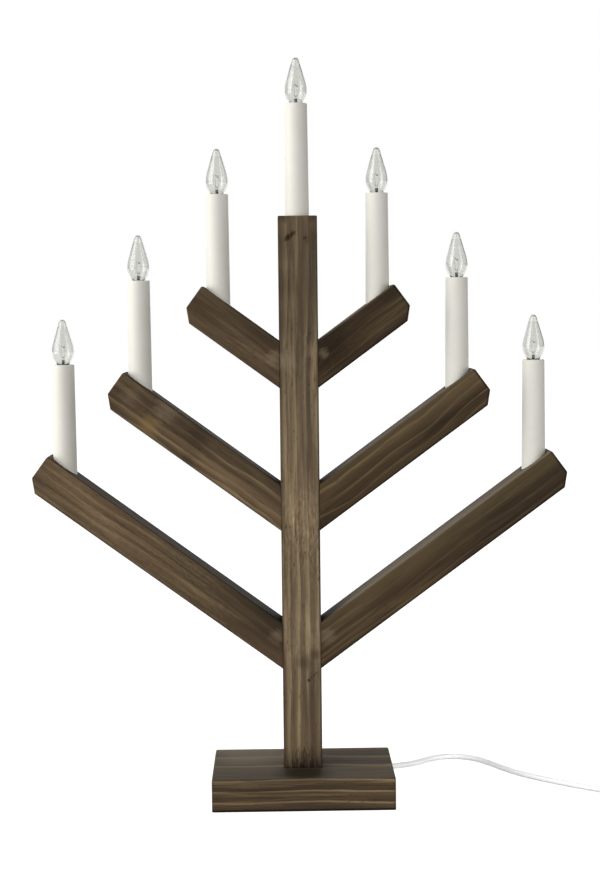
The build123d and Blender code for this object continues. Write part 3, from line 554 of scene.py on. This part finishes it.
sky = world_node("ShaderNodeSeparateXYZ", {0: world_node("ShaderNodeTexCoord").outputs["Generated"]}).outputs
from_left = rise(sky[0], -0.9, 0.3, 0.55, 0.1)
above = rise(sky[2], -0.25, 0.2, 0.55, 1.0)
around = world_node("ShaderNodeMath", {0: from_left, 1: above}, operation="MULTIPLY").outputs[0]
behind = rise(sky[1], 0.74, 0.9, 0.0, 1.0)
before = rise(sky[1], -0.86, -0.95, 0.0, 1.0)
backdrop = world_node("ShaderNodeMath", {0: behind, 1: before}, operation="MAXIMUM").outputs[0]
levels = {"Factor": backdrop, 2: around, 3: 1.0}
light_part = world_node("ShaderNodeMix", levels, data_type="FLOAT").outputs[0]
seen = world_node("ShaderNodeLightPath").outputs["Is Camera Ray"]
strength = world_node("ShaderNodeMath", {0: light_part, 1: seen}, operation="MAXIMUM").outputs[0]
tree.nodes["Background"].inputs["Color"].default_value = (1, 1, 1, 1)
tree.links.new(strength, tree.nodes["Background"].inputs["Strength"])


def softbox(name, place, aim, size, power, spread=180):
    """Rectangular light, in metres, watts and degrees."""
    data = bpy.data.lights.new(name, "AREA")
    data.spread = math.radians(spread)
    data.shape = "RECTANGLE"
    data.size, data.size_y = size
    data.energy = power
    lamp = bpy.data.objects.new(name, data)
    lamp.location = place
    lamp.rotation_euler = (Vector(aim) - Vector(place)).to_track_quat("-Z", "Y").to_euler()
    bpy.context.scene.collection.objects.link(lamp)


softbox("key_left", place=(-1.66, -0.62, 1.0), aim=(0, 0, 0.3), size=(1.6, 2.1), power=33.6)
softbox("fill_right", place=(0.75, -0.5, 0.5), aim=(0, 0, 0.38), size=(0.3, 1.2), power=2.6)
softbox("cord_fill", place=(0.42, -0.42, 0.15), aim=(0.15, 0.06, 0), size=(0.12, 0.12), power=0.11, spread=40)
bpy.context.scene.view_settings.view_transform = "Standard"

# Wood: the same stain on every bar, which takes differently on each; tones are dark, middle and light
arm_tone = {"left": ("#4d3f2f", "#735f47", "#9b8665"), "right": ("#34291e", "#564631", "#867352")}
post_tone = ("#4f4235", "#716049", "#9b8b6b")
base_tone = ("#3a3026", "#534431", "#98835f")
beech_tone = ("#b99a6e", "#c9ac80", "#d8c09a")
pale, gold, brown, black, knot = "#94826a", "#957a4a", "#3a2c1c", "#120d09", "#22160c"
finishes = {}

# Post: brighter and darker parts as x, z, radius and factor, then marks as x, z, radius, colour and strength
post_gains = [
    (0, 255, 95, 1.55),
    (0, 150, 60, 1.25),
    (0, 100, 160, 1.26),
    (-13, 125, 26, 1.25),
    (-13, 95, 26, 1.22),
    (10, 206, 24, 1.2),
    (-14, 402, 13, 0.72),
    (-14, 374, 13, 0.72),
    (-14, 346, 12, 0.8),
    # painted shade at the post's foot, where it stands on the base
    (-7, 20, 20, 0.25),
    (7, 20, 20, 0.25),
]
post_top_gains = [(-10.5, 422, 6, 0.55), (11, 422, 6, 0.6), (14, 406, 10, 0.8)]  # over the marks
rubbed_marks = [
    (-9.2, 319, 9, pale, 0.6),
    (10.2, 326, 7, pale, 0.5),
    (8, 117, 8, pale, 0.4),
    (-8, 216, 6, pale, 0.3),
]
scratch_marks = [
    (1, 101, 7, brown, 0.5),
    (9.6, 107, 4.5, brown, 0.45),
    (4.9, 88, 1.5, black, 0.8),
    (6.8, 90, 1.2, black, 0.55),
    (8.6, 91.8, 1.3, black, 0.6),
    (10.4, 93.4, 1.2, black, 0.5),
]
knot_marks = [
    (-6.6, 406.5, 2.6, knot, 0.85),
    (-5, 408.2, 2.6, knot, 0.9),
    (-3.2, 409.8, 2.4, knot, 0.75),
    (-8.4, 405.2, 1.8, knot, 0.6),
    (5.3, 406, 2.2, knot, 0.7),
    (6.2, 403.8, 1.5, knot, 0.5),
]
plain_top = 2.0  # lifts the dark end above the post's top, which has none
post = Timber("pine_post", post_tone, 3, half=(timber_half, timber_half), turn=math.pi / 2)
post.grow(pith=(45.0, 140.0), pitch=6.9, sway=5.0, start=0.27, soft=True)
post.stain(lines=0.7)
for gain in post_gains:
    post.gain(*gain)
for mark in rubbed_marks + scratch_marks + knot_marks:
    post.mark(*mark)
for gain in post_top_gains:
    post.gain(*gain)
# the dark start at base_height is painted shade where the post stands on the base
post.edges(width=1.5, share=0.4, ends=(base_height, post_top + plain_top), dark_front=True)
finishes["post"] = post.done()

# Base
base = Timber("pine_base", base_tone, 12, half=(base_size[1] / 2, base_height / 2), foot=base_height / 2)
base.grow(pith=(60.0, -190.0), pitch=7.8, sway=2.5, start=0.16, even=0.5)
base.stain(lines=0.9)
for gain in ((-60, 10, 24, 1.3), (35, 22, 24, 1.25), (58, 21, 16, 1.2)):
    base.gain(*gain)
# painted sheen: the top face greyer than the front
base.top_face_painted_light("#554d40", lines=0.55)
# painted light on the back-left of the base's top
base.painted_top_shading(-38, 30, 42, "#8d8474", 0.45)
# painted shadow of the post on the base's top, in front of the post
base.painted_top_shading(0, -27, 26, dark_stain_and_shade, 0.68)
# painted contact shadow along the base's bottom edge
base.painted_floor_shadow(0.95)
base.edges(width=2.4, share=0.2, ends=(-base_size[0] / 2, base_size[0] / 2))
finishes["base_block"] = base.done()

# Arms
arm_grain = {  # pith, pitch, lines, sway, wave, streaks, dark upper part and fade along the bar
    "lower_left": ((30.0, -120.0), 6.5, 0.3, 8.0, 0.8, 0.5, 0.8, -0.28),
    "middle_left": ((24.0, -62.0), 6.2, 0.75, 16.0, 1.8, 0.5, 0.7, 0.0),
    "upper_left": ((35.0, 150.0), 7.0, 0.35, 8.0, 0.8, 0.7, 0.3, 0.0),
    "lower_right": ((-40.0, -150.0), 7.5, 0.27, 7.0, 0.45, 1.0, -0.4, 0.3),
    "middle_right": ((26.0, -70.0), 7.5, 0.8, 14.0, 0.9, 0.5, -0.35, 0.1),
    "upper_right": ((30.0, 160.0), 8.5, 0.22, 7.0, 0.45, 0.8, 0.0, 0.1),
}
arm_gains = {
    "lower_left": [(-155, 155, 110, 1.85)],
    "middle_left": [(-50, 236, 40, 1.25), (-72, 266, 11, 0.7), (-80, 249, 8, 0.7)],
    "upper_left": [(-30, 330, 70, 0.8), (-65, 328, 26, 1.4), (-40, 309, 24, 1.35)],
    "upper_right": [(20, 327, 30, 0.55)],
}
arm_marks = {
    "lower_left": [(-98.9, 195.1, 3, pale, 0.7), (-17.5, 121, 7, pale, 0.4)],
    "middle_left": [(-107.6, 273.7, 10, gold, 0.5), (-96, 283, 11, pale, 0.4), (-121, 294, 9, pale, 0.25)],
    "upper_left": [(-18, 322, 6, pale, 0.45)],
    "lower_right": [(19, 120, 7, pale, 0.35)],
    "upper_right": [(17.5, 324, 5, pale, 0.4)],
}
# painted shade on the left arms' top faces and painted sheen on the right arms' top faces
left_top_shade = "#2d261b"
right_top_sheen = {"lower_right": "#786d5e", "middle_right": "#5f5548", "upper_right": "#72685a"}
arm_edge_share = {"left": 0.15, "right": 0.75}
# Painted shadow in the corner where an arm's top meets the post
painted_corner_shadow = (-4, 22, "#0d0a07", 0.85)  # where an arm's top meets the post: y, radius, colour and strength
for index, (name, grain) in enumerate(arm_grain.items()):
    pith, ring_pitch, lines, sway, wave, streaks, upper, fade = grain
    level, side = name.split("_")
    sign, reach = sides[side], candle_reach[level]
    arm_end = (reach + arm_half * math.sin(arm_slope)) / math.cos(arm_slope) + arm_end_setback
    arm = Timber(f"pine_{name}", arm_tone[side], 20 + index, half=(timber_half, arm_half), turn=arm_slope,
                 mirror=sign, foot=arm_axis[level])
    arm.grow(pith, ring_pitch, sway, wave, soft=side == "left")
    arm.stain(lines, streaks)
    arm.shade(upper, fade)
    for gain in arm_gains.get(name, ()):
        arm.gain(*gain)
    for mark in arm_marks.get(name, ()):
        arm.mark(*mark)
    # painted sheen or painted shade on the top face, by side
    arm.top_face_painted_light(right_top_sheen.get(name, left_top_shade))
    arm.painted_top_shading(sign * timber_half, *painted_corner_shadow)
    arm.edges(width=2.0, share=arm_edge_share[side], ends=(0.0, arm_end), chamfer=arm_end_chamfer,
              seat=sign * reach)
    finishes[f"arm_{name}"] = arm.done()

# Dowels
dowels = Timber("beech_dowel", beech_tone, 40, half=(dowel_diameter / 2, dowel_diameter / 2))
dowels.grow(pith=(40.0, -150.0), pitch=7.0)
dowels.stain(lines=0.6)
finishes["arm_dowels"] = dowels.done()

# Other materials
ivory = plastic("candle_ivory", "#f3f0e6", "#eeeadd", 0.5)
nickel = metal("lamp_nickel", "#cfcdc6", "#a6a39a", 0.22)
brass = metal("contact_brass", "#c9a85e", "#8f7440", 0.3)
steel = metal("zinc_steel", "#b9bab8", "#8b8c8a", 0.35)
holder_black = plastic("holder_black", "#262321", "#1b1917", 0.5)
finishes.update({
    "post_screws": steel,
    "clamp_screws": steel,
    "cord_clamp": plastic("clamp_white", "#ecece8", "#dededa", 0.5),
    "screw_shells": brass,
    "centre_contacts": brass,
    "coil_tie": plastic("tie_white", "#f2f2f0", "#e4e4e2", 0.45),
    "plug_body": plastic("plug_white", "#f3f3f1", "#e9e9e6", 0.35, grain=1500.0, bump=0.03),
    "plug_pins": nickel,
})
for name in candles:
    finishes[f"lamp_holder_{name}"] = holder_black
for node, finish in finishes.items():
    nodes[node].material_slots[0].material = finish

# Candle sleeves: turned tubes with a rounded rim
foot_ease, rim_round, lip_round, taper_steps = 0.3, 0.5, 0.4, 12
sleeve_taper = (sleeve_rim - sleeve_foot) / 2
sleeve_side = []
for k in range(1, taper_steps):
    sleeve_side.append((sleeve_foot / 2 + sleeve_taper * k / taper_steps, sleeve_length * k / taper_steps))
sleeve_profile = [
    (sleeve_bore / 2, 0.0),
    (sleeve_foot / 2 - foot_ease, 0.0),
    (sleeve_foot / 2, foot_ease),
    *sleeve_side,
    *arc((sleeve_rim / 2 - rim_round, sleeve_length - rim_round), rim_round, 0, 90, 5),
    *arc((sleeve_opening / 2 + lip_round, sleeve_length - lip_round), lip_round, 90, 180, 4),
    (sleeve_opening / 2, sleeve_length - sleeve_lip),
    (sleeve_bore / 2, sleeve_length - sleeve_lip),
]
for name, (x, seat) in candles.items():
    bm = bmesh.new()
    lathe(bm, sleeve_profile, (x, 0, seat), segments=64, closed=True)
    sleeve = mesh_object(f"candle_tube_{name}", bm, ivory)
    link(sleeve, "frame", [f"candle_sleeve_{name}"])

# Lamps: flame-shaped glass with a stem, wires on a bead, and a threaded cap with cement round the glass
glass = Finish("lamp_glass", Transmission_Weight=1.0, IOR=1.5, Roughness=0.0)
film = glass.noise(glass.place(), 120.0, 2.0)
glass.paint(glass.mix(film, colour("#ebebe8"), colour("#e3e3e0")))
bead_glass = Finish("bead_glass", Transmission_Weight=0.5, IOR=1.5)
bead_cloud = bead_glass.noise(bead_glass.place(), 900.0, 2.0)
bead_glass.paint(bead_glass.mix(bead_cloud, colour("#6a6d6c"), colour("#8e918f")))
bead_glass.gloss(bead_glass.span(bead_cloud, 0.3, 0.7, 0.1, 0.3))
lead_wire = metal("lead_wire", "#c4c2bc", "#a19e97", 0.25)
tungsten = metal("tungsten", "#3d3b39", "#232120", 0.45)
vitrite = plastic("vitrite_black", "#1c1b1d", "#29272a", 0.2)
solder = metal("solder_tip", "#b8b8b6", "#8e8e8c", 0.4)
cement = plastic("cap_cement", "#e9e6dc", "#dcd8cc", 0.7)

# Glass: belly and shoulder arcs, a straight taper and a round tip
bulb_radius, bulb_height, belly_height = 8.0, 32.7, 9.2
neck_radius, neck_depth = 4.1, 4.0
bulb_taper, shoulder_radius, glass_wall = 16.9, 21.7, 0.6
inner_tip_drop = 0.3  # makes the wall thicker at the tip
tip_ring = bulb_height - 5.4
ring_swell = ((-0.7, 0.0), (-0.3, 0.1), (0.0, 0.16), (0.3, 0.1), (0.7, 0.0))  # along the taper, thickness
neck_step = bulb_radius - neck_radius
belly_radius = (belly_height**2 + neck_step**2) / (2 * neck_step)
belly_centre = (bulb_radius - belly_radius, belly_height)
shoulder_centre = (bulb_radius - shoulder_radius, belly_height)
slant = math.radians(bulb_taper)
taper_offset = shoulder_radius + shoulder_centre[0] * math.cos(slant) + belly_height * math.sin(slant)


def flame_side(inset, tip_height, ring=None):
    """Outline of the glass from the neck's top to the axis at its tip; the wall may be thicker at a ring."""
    neck_angle = -math.degrees(math.acos((neck_radius - inset - belly_centre[0]) / (belly_radius - inset)))
    tip_radius = taper_offset - inset - tip_height * math.sin(slant)
    points = arc(belly_centre, belly_radius - inset, neck_angle, 0, 14)
    points += arc(shoulder_centre, shoulder_radius - inset, 0, bulb_taper, 10)[1:]
    tip = arc((0, tip_height), tip_radius, bulb_taper, 90, 12)[:-1] + [(0, tip_height + tip_radius)]
    if ring:
        slope = (tip[0][0] - points[-1][0]) / (tip[0][1] - points[-1][1])
        at_ring = points[-1][0] + slope * (ring - points[-1][1])
        points += [(at_ring + slope * lift - thick, ring + lift) for lift, thick in ring_swell]
    return points + tip


outer_tip = bulb_height - (taper_offset - bulb_height * math.sin(slant)) / (1 - math.sin(slant))
outer_profile = [(0, -neck_depth), (neck_radius, -neck_depth)] + flame_side(0, outer_tip)
stem_profile = [(0, 0.2), (0.7, 0.1), (1.1, -0.3), (1.2, -0.9), (1.2, -2.2)]
stem_foot = [(1.9, -2.8), (3.0, -2.8), (3.5, -2.4)]
inner_profile = stem_profile + stem_foot + flame_side(glass_wall, outer_tip - inner_tip_drop, tip_ring)

# Cap: collar, round thread, black insulator and solder tip, with heights from the sleeve's rim
thread_pitch, thread_depth = 1.81, 0.22
thread_top, thread_end, thread_fade = -1.9, -9.7, 0.8
cap_radius, side_top, side_step, side_count = 4.5, -1.7, 0.15, 55
cup_radius, cup_depth, cup_top = 4.2, 4.1, -0.95
cement_profile = [(0, -cup_depth), (cup_radius, -cup_depth), (cup_radius, cup_top)]
collar_profile = [(cup_radius, cup_top), (4.4, -0.8), (4.8, -0.8), (5.0, -1.0), (5.0, -1.4), (4.8, -1.6)]
cap_side = [(cap_radius, side_top - side_step * k) for k in range(side_count)]
cap_profile = collar_profile + cap_side + [(4.4, -9.95), (4.1, -10.1)]
insulator_profile = [(4.1, -10.1), (3.6, -10.5), (2.5, -11.7), (2.1, -12.0), (1.5, -12.0)]
solder_profile = [(1.6, -11.95), (1.55, -12.5), (1.25, -13.0), (0.7, -13.25), (0, -13.3)]


def thread(turn, height):
    """Height of the cap's round thread at a place on its side."""
    ends = min(1.0, max(0.0, min(thread_top - height, height - thread_end)) / thread_fade)
    return thread_depth * ends * math.cos(turn - 2 * math.pi * height / thread_pitch)


# Inside the glass: routes as x from the axis and height above the rim
lead_radius, filament_radius, filament_y = 0.13, 0.17, -0.1
lead_route = [
    (0.5, 1.0),
    (0.5, 3.4),
    (0.55, 4.6),
    (0.95, 6.2),
    (1.0, 8.0),
    (1.15, 10.5),
    (1.2, 12.6),
    (1.15, 13.2),
]
filament_routes = [  # the filament, then two dark strokes above the bead
    [(-1.2, 13.2), (-0.7, 13.5), (0.1, 13.3), (0.1, 12.3), (0.5, 11.8), (0.9, 12.6), (1.2, 13.2)],
    [(-1.2, 6.0), (-0.6, 5.6), (-0.1, 4.9)],
    [(0.1, 4.9), (0.6, 5.5), (1.1, 5.9)],
]
bead_profile = [
    (0, 0.3),
    (0.9, 0.3),
    (1.05, 0.5),
    (1.1, 1.4),
    (0.95, 2.0),
    (1.1, 2.6),
    *arc((0.75, 3.2), 0.35, 0, 90, 4),
    (0, 3.55),
]


def add_glass(name, body, rim):
    """Hollow glass, with the faces of its hollow turned inwards."""
    bm = bmesh.new()
    lathe(bm, outer_profile, rim, segments=64)
    bmesh.ops.recalc_face_normals(bm, faces=bm.faces)
    shell = set(bm.faces)
    lathe(bm, inner_profile, rim, segments=64)
    hollow = [face for face in bm.faces if face not in shell]
    bmesh.ops.recalc_face_normals(bm, faces=hollow)
    bmesh.ops.reverse_faces(bm, faces=hollow)
    bulb = mesh_object(f"lamp_flame_{name}", bm, glass.material, flip=False)
    link(bulb, body, [f"bulb_glass_{name}"])


def add_cap(name, body, rim):
    """Cap of nickel, insulator, solder and cement, in this order of material slots."""
    bm = bmesh.new()
    lathe(bm, cap_profile, rim, segments=56, ripple=thread)
    lathe(bm, insulator_profile, rim, segments=56, slot=1)
    lathe(bm, solder_profile, rim, segments=56, slot=2)
    lathe(bm, cement_profile, rim, segments=56, slot=3)
    cap = mesh_object(f"lamp_cap_{name}", bm, nickel, vitrite, solder, cement, smooth_angle=50)
    link(cap, body, [f"bulb_cap_{name}"])


def inside_glass(route, rim, way=1, y=0.0):
    """Control points of a wire in a lamp; way is -1 for a route mirrored to the other side."""
    return [(rim[0] + way * across, y, rim[2] + lift) for across, lift in route]


def add_lamp_wires(name, body, rim):
    """Two bright lead wires, and the dark wires between them."""
    leads = [inside_glass(lead_route, rim, way) for way in (-1, 1)]
    wires = curve_object(f"lamp_leads_{name}", leads, lead_radius, lead_wire, bevel=2)
    link(wires, body, [f"bulb_filament_{name}"])
    dark_wires = [inside_glass(route, rim, y=filament_y) for route in filament_routes]
    filament = curve_object(f"lamp_filament_{name}", dark_wires, filament_radius, tungsten, bevel=2)
    link(filament, body)


def add_bead(name, body, rim):
    """Glass bead on the stem, which holds the wires."""
    bm = bmesh.new()
    lathe(bm, bead_profile, rim, segments=24)
    bead = mesh_object(f"lamp_bead_{name}", bm, bead_glass.material)
    link(bead, body)


for name, (x, seat) in candles.items():
    body = f"bulb_{name}"
    rim = (x, 0, seat + sleeve_length)
    add_glass(name, body, rim)
    add_cap(name, body, rim)
    add_lamp_wires(name, body, rim)
    add_bead(name, body, rim)

# Lamp wires lie loosely in the grooves at the back, held by staples
wire_white = plastic("wire_white", "#eeeeea", "#dcdcd6", 0.45)
wire_y = rear - groove_depth + wire_clearance + wire_radius
half_pitch = wire_pitch / 2
tangent = math.tan(arm_slope)
hole_height = {name: seat - wire_hole_drop for name, (x, seat) in candles.items()}
lower_foot = hole_height["lower_right"] - candle_reach["lower"] * tangent
sheath_end = lower_foot - sheath_gap
terminal_drop, terminal_offset = 19.1, 2.8
holder_foot_drop, slack_drop, slack_offset = 28.0, 44.0, 2.0  # below the rim, and from the candle's axis
arm_bend_drop, top_bend_drop, bow_y = 64.0, 66.0, 0.5
seat_lead, hole_bend, groove_bend = 2.0, 2.5, 2.0  # above the seat, behind the axis, before the groove
core_offset = cord_radius - wire_radius
fan_top, fan_foot, fan_overlap = 8.0, 4.0, 1.0  # about the sheath's end, where the two cores part


def laid(start, end, spacing=24.0, sway=0.25, margin=0.06):
    """Points of a wire that lies a little wavily between two places in a groove."""
    start, end = Vector(start), Vector(end)
    beside = (end - start).cross(Vector((0, 1, 0))).normalized()
    count = max(2, round((end - start).length / spacing))
    points = [start + (end - start) * margin]
    for k in range(1, count):
        points.append(start + (end - start) * (k / count) + beside * random.uniform(-sway, sway))
    points.append(start + (end - start) * (1 - margin))
    return [tuple(point) for point in points]


def down_sleeve(x, seat, way, bend_drop, groove_x, groove_z):
    """From a candle's terminal down its sleeve and out at the back, on its -X side if way is 1."""
    rim = seat + sleeve_length
    return [
        (x - way * terminal_offset, 0, rim - terminal_drop),
        (x - way * terminal_offset, 0, rim - holder_foot_drop),
        (x - way * slack_offset, bow_y, rim - slack_drop),
        (x - way * half_pitch, -bow_y, rim - bend_drop),
        (x - way * half_pitch, 0, seat + seat_lead),
        (x - way * half_pitch, 0, groove_z),
        (x - way * half_pitch, hole_bend, groove_z),
        (groove_x, wire_y - groove_bend, groove_z),
        (groove_x, wire_y, groove_z),
    ]


def arm_wire(sign, level, way):
    """From a candle's terminal to the back of its arm and on to the post; way is 1 for the upper wire."""
    x, seat = candles[f"{level}_right"]
    groove_x = x - way * half_pitch * math.sin(arm_slope)
    groove_z = hole_height[f"{level}_right"] + way * half_pitch * math.cos(arm_slope)
    points = down_sleeve(x, seat, way, arm_bend_drop, groove_x, groove_z)
    run_end = (half_pitch, wire_y, groove_z - (groove_x - half_pitch) * tangent)
    points += laid(points[-1], run_end) + [run_end]
    return [(sign * px, py, pz) for px, py, pz in points]


def top_wire(sign):
    """From the top candle's terminal to the post's groove."""
    points = down_sleeve(*candles["top"], -1, top_bend_drop, half_pitch, hole_height["top"])
    return [(sign * px, py, pz) for px, py, pz in points]


def joined(first, second):
    """One wire from two half routes that meet in the post's groove."""
    return first + laid(first[-1], second[-1]) + second[::-1]


for side, sign in sides.items():
    cord_end = [
        (sign * half_pitch, wire_y, sheath_end + fan_top),
        (sign * core_offset, cord_y, sheath_end + fan_foot),
        (sign * core_offset, cord_y, sheath_end - fan_overlap),
    ]
    circuit = [
        joined(top_wire(sign), arm_wire(sign, "upper", 1)),
        joined(arm_wire(sign, "upper", -1), arm_wire(sign, "middle", 1)),
        joined(arm_wire(sign, "middle", -1), arm_wire(sign, "lower", 1)),
        arm_wire(sign, "lower", -1) + cord_end,
    ]
    wires = curve_object(f"groove_wires_{side}", circuit, wire_radius, wire_white, bevel=3, resolution=6)
    link(wires, "frame", [f"lamp_wires_{side}"])

# Lead inside the base and the post, with an elbow under the post
elbow_far, elbow_near = 28.0, 11.0
inner_points = [
    cord_exit,
    out_of_base(elbow_far),
    out_of_base(elbow_near),
    (0, cord_y, cord_level),
    (0, cord_y, cord_level + elbow_near),
    (0, cord_y, cord_level + elbow_far),
    (0, cord_y, sheath_end),
]
inner_lead = curve_object("inner_lead", [inner_points], cord_radius, cord_white, bevel=5)
link(inner_lead, "frame", ["cord_inner"])

# Staples over the grooves
staple_metal = metal("staple_steel", "#c2beb4", "#8a867c", 0.3)
staple_radius = 0.42
staple_half = [(3.2, 0.5), (3.75, 0.42), (3.9, 0.1), (3.9, -4.0)]  # across the groove, out of the wood
staple_counts = {"lower": 4, "middle": 3, "upper": 2}
staple_start, staple_margins = 24.0, 40.0  # first staple's x, and the reach without staples at both ends
post_staples = (38, 66, 128, 156, 228, 256, 330, 372)  # heights


def staple(x, z, angle):
    """Control points of one wire staple across a groove that runs at that angle in the front view."""
    over = Vector((-math.sin(angle), 0, math.cos(angle)))
    outline = [(-shift, lift) for shift, lift in reversed(staple_half)] + staple_half
    return [tuple(Vector((x, rear, z)) + over * shift + Vector((0, lift, 0))) for shift, lift in outline]


def add_staples(name, rows):
    """One piece from several staples."""
    staples = curve_object(name, rows, staple_radius, staple_metal, bevel=2, resolution=4)
    link(staples, "frame")


for level, reach in candle_reach.items():
    for side, sign in sides.items():
        rows = []
        for k in range(staple_counts[level]):
            along = staple_start + (reach - staple_margins) * k / (staple_counts[level] - 1)
            skew = sign * arm_slope + random.uniform(-0.12, 0.12)
            z = hole_height[f"{level}_{side}"] - (reach - along) * tangent
            rows.append(staple(sign * along, z, skew if sign > 0 else skew + math.pi))
        add_staples(f"staples_{level}_{side}", rows)
add_staples("staples_post", [staple(0, z, math.pi / 2 + random.uniform(-0.1, 0.1)) for z in post_staples])
